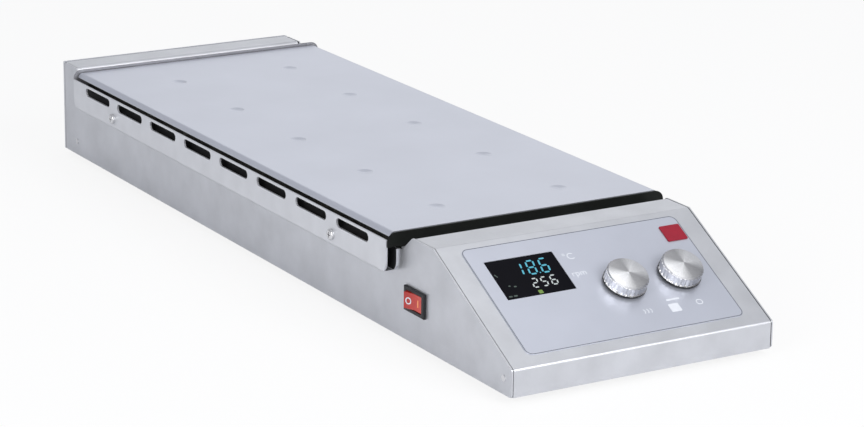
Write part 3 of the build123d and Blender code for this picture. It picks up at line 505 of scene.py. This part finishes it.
turned_metal = finish("turned_metal", (0.80, 0.80, 0.82), metallic=1.0, roughness=0.24, shift=0.03,
                      patch=150.0, grain=1500.0, relief=0.0, spread=0.03)
tree = turned_metal.node_tree
shader = tree.nodes["Principled BSDF"]
shader.inputs["Anisotropic"].default_value = 0.8
polar = tree.nodes.new("ShaderNodeUVMap")
polar.uv_map = "polar"
stretch = tree.nodes.new("ShaderNodeMapping")
stretch.inputs["Scale"].default_value = RING_STRETCH
tree.links.new(polar.outputs["UV"], stretch.inputs["Vector"])
rings = tree.nodes.new("ShaderNodeTexNoise")
rings.noise_dimensions = "2D"
rings.inputs["Scale"].default_value = 1.0
tree.links.new(stretch.outputs["Vector"], rings.inputs["Vector"])
marks = tree.nodes.new("ShaderNodeBump")
marks.inputs["Strength"].default_value = 0.2
marks.inputs["Distance"].default_value = RING_RELIEF
tree.links.new(rings.outputs["Fac"], marks.inputs["Height"])
tree.links.new(marks.outputs["Normal"], shader.inputs["Normal"])
# Painted reflection: the base colour swings twice round the axis between dark and light sectors.
round_turn = tree.nodes.new("ShaderNodeSeparateXYZ")
tree.links.new(polar.outputs["UV"], round_turn.inputs["Vector"])
twice = tree.nodes.new("ShaderNodeMath")
twice.operation = "MULTIPLY_ADD"
twice.inputs[1].default_value = 2 * math.tau
twice.inputs[2].default_value = PAINTED_SECTOR_START
tree.links.new(round_turn.outputs["X"], twice.inputs[0])
swing = tree.nodes.new("ShaderNodeMath")
swing.operation = "SINE"
tree.links.new(twice.outputs[0], swing.inputs[0])
painted_reflection_fan = tree.nodes.new("ShaderNodeValToRGB")
painted_reflection_fan.color_ramp.elements[0].position = 0.15
painted_reflection_fan.color_ramp.elements[1].position = 0.85
painted_reflection_fan.color_ramp.elements[0].color = (0.40, 0.40, 0.41, 1)
painted_reflection_fan.color_ramp.elements[1].color = (0.93, 0.93, 0.94, 1)
level = tree.nodes.new("ShaderNodeMapRange")
level.inputs["From Min"].default_value = -1.0
tree.links.new(swing.outputs[0], level.inputs["Value"])
tree.links.new(level.outputs["Result"], painted_reflection_fan.inputs["Fac"])
tree.links.new(painted_reflection_fan.outputs["Color"], shader.inputs["Base Color"])
along = tree.nodes.new("ShaderNodeTangent")
along.direction_type = "UV_MAP"
along.uv_map = "polar"
tree.links.new(along.outputs["Tangent"], shader.inputs["Tangent"])
print("turned metal", len(tree.nodes), "shader nodes")

# %% [markdown]
# Each knob is a rounded copy of its CAD node. Its face is one flat fan of triangles, so the map
# gives the corner at the axis the angle of the triangle that it belongs to.

# %% Knobs with a polar map
AXIS_R = 0.1 * MM


def polar_map(piece, seat_matrix):
    """A UV map with the angle round the knob's axis in U and the radius and height in V."""
    mesh = piece.data
    layer = mesh.uv_layers.get("polar") or mesh.uv_layers.new(name="polar")
    inverse = seat_matrix.inverted()
    for face in mesh.polygons:
        centre = inverse @ face.center
        middle = math.atan2(centre.y, centre.x)
        for loop in face.loop_indices:
            point = inverse @ mesh.vertices[mesh.loops[loop].vertex_index].co
            radius = math.hypot(point.x, point.y)
            angle = math.atan2(point.y, point.x) if radius > AXIS_R else middle
            if angle - middle > math.pi:
                angle -= math.tau
            if middle - angle > math.pi:
                angle += math.tau
            layer.data[loop].uv = (angle / math.tau, (radius + point.z) / KNOB_R)


for label, u in KNOB_U.items():
    axis = SLOPE @ Matrix.Translation((u * MM, KNOB_V * MM, 0))
    knob = rounded_copy(label + "_knob", KNOB_EDGE, turned_metal, corner=28.0, smooth=22.0)
    alone(knob)
    bpy.ops.object.mode_set(mode="EDIT")
    bpy.ops.mesh.select_all(action="SELECT")
    bpy.ops.mesh.quads_convert_to_tris()
    bpy.ops.object.mode_set(mode="OBJECT")
    polar_map(knob, axis)
    darken(knob, black_plastic, lambda face: (axis.inverted() @ face.center).z < COLLAR_TOP)
    print(knob.name, len(knob.data.polygons), "faces")

# %% [markdown]
# ## The display
# Two lit readings stand on black glass, over a small green lamp and a few dim marks. They glow
# faintly, because a display is much dimmer than the studio round it. The print on the film has the
# same kind of finish without the glow.

# %% Lit finishes


def lit(name, colour, strength):
    """A glowing surface that fades a little from place to place."""
    material = finish(name, colour, roughness=0.4, shift=0.06, patch=500.0, grain=2500.0,
                      relief=0.0)
    tree = material.node_tree
    shader = tree.nodes["Principled BSDF"]
    ramp = next(n for n in tree.nodes if n.type == "VALTORGB")
    tree.links.new(ramp.outputs["Color"], shader.inputs["Emission Color"])
    shader.inputs["Emission Strength"].default_value = strength
    return material


cyan_light = lit("cyan_light", (0.05, 0.26, 0.34), 0.55)
white_light = lit("white_light", (0.34, 0.37, 0.37), 0.5)
green_light = lit("green_light", (0.10, 0.17, 0.03), 0.4)
dim_light = lit("dim_light", (0.04, 0.06, 0.05), 0.2)
white_print = finish("white_print", (0.66, 0.68, 0.73), roughness=0.5, shift=0.03, patch=300.0,
                     grain=2000.0, relief=0.02)
# A dark finish for the thin ring along the film's edge.
film_edge_dark = finish("film_edge_dark", (0.10, 0.11, 0.13), roughness=0.5, shift=0.1, patch=300.0,
                    grain=2000.0, relief=0.02)
print("lit and printed finishes", len(bpy.data.materials))

# %% [markdown]
# Print, bars and pads are all thin plates. Each starts as a plane, gets its corners rounded in edit
# mode, and is extruded by its thickness. A stroke is such a plate, laid from one point to another.

# %% Plates and strokes
BAR_CORNERS = 6


def outline(width, height, corner, steps, name):
    """A flat rectangle round the origin with rounded corners, all selected in edit mode."""
    bpy.ops.object.select_all(action="DESELECT")
    bpy.ops.mesh.primitive_plane_add(size=1.0)
    piece = bpy.context.object
    piece.name = name
    piece.scale = (width, height, 1)
    bpy.ops.object.transform_apply(location=True, rotation=True, scale=True)
    bpy.ops.object.mode_set(mode="EDIT")
    bpy.ops.mesh.select_all(action="SELECT")
    bpy.ops.mesh.bevel(offset=corner, segments=steps, affect="VERTICES")
    bpy.ops.mesh.select_all(action="SELECT")
    return piece


def thicken(thickness):
    """Extrude what is selected in edit mode upwards, and leave edit mode."""
    bpy.ops.mesh.extrude_region_move(TRANSFORM_OT_translate={"value": (0, 0, thickness)})
    bpy.ops.mesh.select_all(action="SELECT")
    bpy.ops.mesh.normals_make_consistent(inside=False)
    bpy.ops.object.mode_set(mode="OBJECT")


def slab(width, height, thickness, corner, name="slab"):
    """A flat plate with its underside on the XY plane and its middle on the Z axis."""
    piece = outline(width, height, corner, BAR_CORNERS, name)
    thicken(thickness)
    return piece


def stroke(start, end, width, thickness):
    """A bar from one point to another, in millimetres on the slope."""
    start, end = Vector(start) * MM, Vector(end) * MM
    run = end - start
    piece = slab(run.length, width, thickness, corner=width * 0.45)
    turn = Matrix.Rotation(math.atan2(run.y, run.x), 4, "Z")
    seat(piece, Matrix.Translation(((start + end) / 2).to_3d()) @ turn)
    return piece


def joined(name, parts):
    """Join pieces into one."""
    bpy.ops.object.select_all(action="DESELECT")
    for part in parts:
        part.select_set(True)
    bpy.context.view_layer.objects.active = parts[0]
    bpy.ops.object.join()
    piece = bpy.context.object
    piece.name = name
    return piece


def on_film(piece, material):
    """Seat a flat piece on the film or the glass and give it its finish."""
    seat(piece, SLOPE @ Matrix.Translation((0, 0, FILM_TOP)))
    dress(material, piece)
    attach(piece, "housing")


print("film top", FILM_TOP, "m above the slope")

# %% [markdown]
# Each digit has seven bars. A table says which bars each figure lights, and the whole reading leans
# a little, as such digits do. Each row below is a figure, its left foot, its width and its height.

# %% Seven-bar digits
BAR_T = 0.08 * MM
LEAN = 0.17
BAR_GAP = 0.65
BARS = {"1": "bc", "2": "abged", "5": "afgcd", "6": "afgecd", "8": "abcdefg"}


def digit(figure, left, low, width, height, bar):
    """The lit bars of one digit, in millimetres on the slope."""
    mid, top = low + height / 2, low + height
    gap = bar * BAR_GAP
    ends = {
        "a": ((left + gap, top), (left + width - gap, top)),
        "g": ((left + gap, mid), (left + width - gap, mid)),
        "d": ((left + gap, low), (left + width - gap, low)),
        "f": ((left, top - gap), (left, mid + gap)),
        "b": ((left + width, top - gap), (left + width, mid + gap)),
        "e": ((left, mid - gap), (left, low + gap)),
        "c": ((left + width, mid - gap), (left + width, low + gap)),
    }
    parts = []
    for key in BARS[figure]:
        start, end = [(x + (y - low) * LEAN, y) for x, y in ends[key]]
        parts.append(stroke(start, end, bar * MM, BAR_T))
    return parts


HEAT_BAR = 1.1
HEAT_DIGITS = (
    ("1", -49.2, 69.0, 2.4, 9.8),
    ("8", -42.6, 68.8, 5.0, 10.6),
    ("6", -33.6, 68.6, 5.0, 11.0),
)
POINT_ENDS = ((-36.0, 68.9), (-35.2, 68.9))
POINT_SIZE = 1.0 * MM
SPEED_BAR = 0.85
SPEED_DIGITS = (
    ("2", -45.6, 58.1, 3.6, 7.0),
    ("5", -39.2, 58.1, 3.6, 7.0),
    ("6", -32.6, 58.1, 3.8, 7.2),
)
heat_reading = [bar for row in HEAT_DIGITS for bar in digit(*row, HEAT_BAR)]
heat_reading.append(stroke(*POINT_ENDS, POINT_SIZE, BAR_T))
on_film(joined("heat_reading", heat_reading), cyan_light)
speed_reading = [bar for row in SPEED_DIGITS for bar in digit(*row, SPEED_BAR)]
on_film(joined("speed_reading", speed_reading), white_light)
print("readings", len(heat_reading), len(speed_reading), "bars")

# %% [markdown]
# A small lamp under the readings shows that the rotors turn. The other marks on the glass are dim,
# plain dashes. Each row is a start, an end and a width in millimetres.

# %% Lamp and faint marks
FAINT_DASHES = (
    ((-65.8, 73.0), (-64.6, 70.6), 0.8),
    ((-61.6, 62.4), (-60.2, 62.4), 1.0),
    ((-58.4, 61.4), (-56.4, 61.4), 1.0),
    ((-65.6, 54.2), (-63.2, 54.2), 1.1),
    ((-62.2, 54.2), (-59.6, 54.2), 1.1),
)
STIR_LAMP_SPOT = (-43.4 * MM, 54.2 * MM, 0)
stir_lamp = slab(3.0 * MM, 2.8 * MM, BAR_T, corner=0.5 * MM, name="stir_lamp")
seat(stir_lamp, Matrix.Translation(STIR_LAMP_SPOT))
on_film(stir_lamp, green_light)
faint = [stroke(start, end, width * MM, BAR_T) for start, end, width in FAINT_DASHES]
on_film(joined("faint_marks", faint), dim_light)
print("faint marks", len(FAINT_DASHES))

# %% [markdown]
# ## The film's edge line and print
# The film is edged by a thin dark line, made from a rounded rectangle that is inset and left as a
# ring. The two unit signs beside the display are text turned to mesh, and the small captions
# under the knobs are plain strokes.

# %% Edge line
PRINT_T = 0.04 * MM
FILM_LINE = (154.6 * MM, 87.6 * MM, 4.4 * MM, 0.45 * MM)
FILM_MIDDLE = (0, 52.5 * MM, 0)
RING_CORNERS = 8


def ring(width, height, corner, line, thickness, name):
    """A thin rounded frame, its underside on the XY plane."""
    piece = outline(width, height, corner, RING_CORNERS, name)
    bpy.ops.mesh.inset(thickness=line, depth=0)
    bpy.ops.mesh.delete(type="ONLY_FACE")
    bpy.ops.mesh.select_all(action="SELECT")
    thicken(thickness)
    return piece


edge_line = ring(*FILM_LINE, PRINT_T, "film_edge_line")
seat(edge_line, Matrix.Translation(FILM_MIDDLE))
on_film(edge_line, film_edge_dark)
print("edge line", len(edge_line.data.polygons), "faces")

# %% [markdown]
# The unit signs stand to the right of the display, one beside each reading. Under the knobs are
# three rising strokes for heat, a pale pad with a bar over it, and a ring for stirring.

# %% Unit signs and captions


def lettering(words, x, y, size, name):
    """A short word as a thin mesh, its left foot at a point of the slope in millimetres."""
    bpy.ops.object.select_all(action="DESELECT")
    bpy.ops.object.text_add(location=(0, 0, 0))
    text = bpy.context.object
    text.data.body = words
    text.data.size = size * MM
    text.data.extrude = PRINT_T / 2
    bpy.ops.object.convert(target="MESH")
    piece = bpy.context.object
    piece.name = name
    seat(piece, Matrix.Translation((x * MM, y * MM, PRINT_T / 2)))
    return piece


on_film(lettering("°C", -15.0, 75.2, 7.2, "celsius_sign"), white_print)
on_film(lettering("rpm", -16.6, 61.4, 6.4, "speed_sign"), white_print)


WAVE_STEP = 2.4
WAVE_REACH = 0.8
WAVE_RISE = 1.8
WAVE_LINE = 0.6 * MM


def wave(x, y, name):
    """Three short rising strokes, for heat, from a point of the slope in millimetres."""
    parts = []
    for step in range(3):
        foot = (x + step * WAVE_STEP, y)
        knee = (foot[0] + WAVE_REACH, y + WAVE_RISE)
        head = (foot[0], y + 2 * WAVE_RISE)
        parts.append(stroke(foot, knee, WAVE_LINE, PRINT_T))
        parts.append(stroke(knee, head, WAVE_LINE, PRINT_T))
    return joined(name, parts)


on_film(wave(13.4, 23.2, "heat_sign"), white_print)
turn_sign = ring(4.6 * MM, 4.2 * MM, 1.9 * MM, 0.6 * MM, PRINT_T, "stir_sign")
seat(turn_sign, Matrix.Translation((53.6 * MM, 25.0 * MM, 0)))
on_film(turn_sign, white_print)
pad = slab(7.2 * MM, 6.6 * MM, PRINT_T, corner=0.6 * MM, name="white_pad")
seat(pad, Matrix.Translation((35.2 * MM, 24.0 * MM, 0)))
on_film(pad, white_print)
caption = stroke((32.6, 30.6), (42.0, 30.6), 1.3 * MM, PRINT_T)
caption.name = "pad_caption"
on_film(caption, white_print)
print("print on the film", [p.name for p in (edge_line, turn_sign, pad, caption)])

# %% [markdown]
# ## The power rocker
# The rocker is a translucent red paddle with a small lamp in it. The lamp sits behind the pressed
# end, so the glow is strongest there and fades towards the other end. The two marks are raised.

# %% Rocker glow
ROCKER_EDGE = 0.35 * MM
GLOW = 0.35
glow_lens = finish("glow_lens", (0.30, 0.012, 0.010), roughness=0.25, shift=0.1, patch=200.0,
                   grain=900.0, relief=0.02, coat=0.4)
tree = glow_lens.node_tree
shader = tree.nodes["Principled BSDF"]
where = tree.nodes.new("ShaderNodeTexCoord")
apart = tree.nodes.new("ShaderNodeSeparateXYZ")
tree.links.new(where.outputs["Object"], apart.inputs["Vector"])
rocker_low, rocker_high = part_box("power_rocker")
fade = tree.nodes.new("ShaderNodeMapRange")
fade.inputs["From Min"].default_value = rocker_high.y
fade.inputs["From Max"].default_value = rocker_low.y
tree.links.new(apart.outputs["Y"], fade.inputs["Value"])
warm = tree.nodes.new("ShaderNodeValToRGB")
warm.color_ramp.elements[0].color = (0.10, 0.002, 0.001, 1)
warm.color_ramp.elements[1].color = (0.60, 0.06, 0.02, 1)
tree.links.new(fade.outputs["Result"], warm.inputs["Fac"])
tree.links.new(warm.outputs["Color"], shader.inputs["Emission Color"])
shader.inputs["Emission Strength"].default_value = GLOW
rounded_copy("power_rocker", ROCKER_EDGE, glow_lens, segments=3)
print("rocker", tuple(round(v, 4) for v in rocker_low))

# %% [markdown]
# The rocker rests switched on, so its front half lies along the panel and its rear half stands out
# at 22 degrees. Each mark is modelled flat and one matrix lays it on its half: the columns are the
# mark's own X, Y and Z, and the place is given from the rocker's pivot.

# %% Rocker marks
PIVOT = Vector((-92.54, -204.9, 31.8)) * MM
warm_light = lit("warm_light", (0.55, 0.22, 0.08), 0.6)
RAISED_SIN, RAISED_COS = 0.375, 0.927
MARK_SIZE = 4.4 * MM
MARK_T = 0.08 * MM
RAISED = Matrix((
    (RAISED_SIN, 0, -RAISED_COS, PIVOT.x - 3.66 * MM),
    (-RAISED_COS, 0, -RAISED_SIN, PIVOT.y + 3.77 * MM),
    (0, 1, 0, PIVOT.z),
    (0, 0, 0, 1),
))
FLUSH = Matrix((
    (0, 0, -1, PIVOT.x - 1.97 * MM),
    (-1, 0, 0, PIVOT.y - 4.6 * MM),
    (0, 1, 0, PIVOT.z),
    (0, 0, 0, 1),
))
off_mark = ring(MARK_SIZE, MARK_SIZE, 2.1 * MM, 0.7 * MM, MARK_T, "off_mark")
on_mark = slab(0.9 * MM, MARK_SIZE, MARK_T, corner=0.3 * MM, name="on_mark")
for mark, matrix, material in ((off_mark, RAISED, white_print), (on_mark, FLUSH, warm_light)):
    seat(mark, matrix)
    dress(material, mark)
    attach(mark, "rocker_body")
print("rocker marks", off_mark.name, on_mark.name)

# %% [markdown]
# ## The deck's rolled sides
# The deck sheet keeps its flat and its ten dished places. Its sides are cut off by two bisecting
# planes, and a short tight roll takes their place: one outline in X and Z, extruded along the deck,
# once for each side. The roll catches the light as a bright band above the dark gap.

# %% Rolled side helper
DECK_TOP = 70.0 * MM
DECK_SHEET = 1.5 * MM
CUT_X = 89.0 * MM
FLAT_X = 94.8 * MM
ROLL_R = 3.5 * MM
ROLL_TURN = math.radians(82)
ROLL_STEPS = 10
DECK_MERGE = 0.005 * MM
DISH_ANGLE = math.radians(12)
deck_low, deck_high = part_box("hot_plate")


def roll_outline():
    """Points of one side's outline, outside first, then back along the inside."""
    middle = DECK_TOP - ROLL_R
    inner = ROLL_R - DECK_SHEET
    turns = [ROLL_TURN * step / ROLL_STEPS for step in range(ROLL_STEPS + 1)]
    points = [(CUT_X, DECK_TOP)]
    points += [(FLAT_X + ROLL_R * math.sin(t), middle + ROLL_R * math.cos(t)) for t in turns]
    turns.reverse()
    points += [(FLAT_X + inner * math.sin(t), middle + inner * math.cos(t)) for t in turns]
    points.append((CUT_X, DECK_TOP - DECK_SHEET))
    return points


def rolled_side(sign):
    """One rolled side, extruded over the deck's length."""
    points = roll_outline()
    mesh = bpy.data.meshes.new("rolled_side")
    mesh.from_pydata([(sign * x, deck_low.y, z) for x, z in points], [], [range(len(points))])
    piece = bpy.data.objects.new("rolled_side", mesh)
    scene.collection.objects.link(piece)
    alone(piece)
    bpy.ops.object.mode_set(mode="EDIT")
    bpy.ops.mesh.select_all(action="SELECT")
    bpy.ops.mesh.extrude_region_move(
        TRANSFORM_OT_translate={"value": (0, deck_high.y - deck_low.y, 0)})
    bpy.ops.mesh.select_all(action="SELECT")
    bpy.ops.mesh.normals_make_consistent(inside=False)
    bpy.ops.object.mode_set(mode="OBJECT")
    return piece


print("deck", [tuple(round(v, 4) for v in corner) for corner in (deck_low, deck_high)])

# %% [markdown]
# Each cut is filled, so the flat and the two rolls are closed and meet face to face. No edge is
# shared by three faces, where smoothing may not come out the same each time. The dished places are
# shallow, so a small smoothing angle keeps their rims crisp, and weighted normals keep the flat
# even.

# %% Deck with rolled sides
flat = bpy.data.objects.new("deck_flat", nodes["hot_plate"].data.copy())
scene.collection.objects.link(flat)
alone(flat)
if flat.data.has_custom_normals:
    bpy.ops.mesh.customdata_custom_splitnormals_clear()
bpy.ops.object.mode_set(mode="EDIT")
bpy.ops.mesh.select_all(action="SELECT")
bpy.ops.mesh.remove_doubles(threshold=DECK_MERGE)
for sign in (-1, 1):
    bpy.ops.mesh.select_all(action="SELECT")
    bpy.ops.mesh.bisect(plane_co=(sign * CUT_X, 0, 0), plane_no=(sign, 0, 0), use_fill=True,
                        clear_outer=True)
bpy.ops.object.mode_set(mode="OBJECT")
deck = joined("deck_rolled", [flat, rolled_side(-1), rolled_side(1)])
alone(deck)
bpy.ops.object.shade_smooth_by_angle(angle=DISH_ANGLE)
apply_modifier(deck, "WEIGHTED_NORMAL", keep_sharp=True, weight=100)
dress(deck_steel, deck)
join_body(deck, "hot_plate")
print(deck.name, len(deck.data.polygons), "faces")
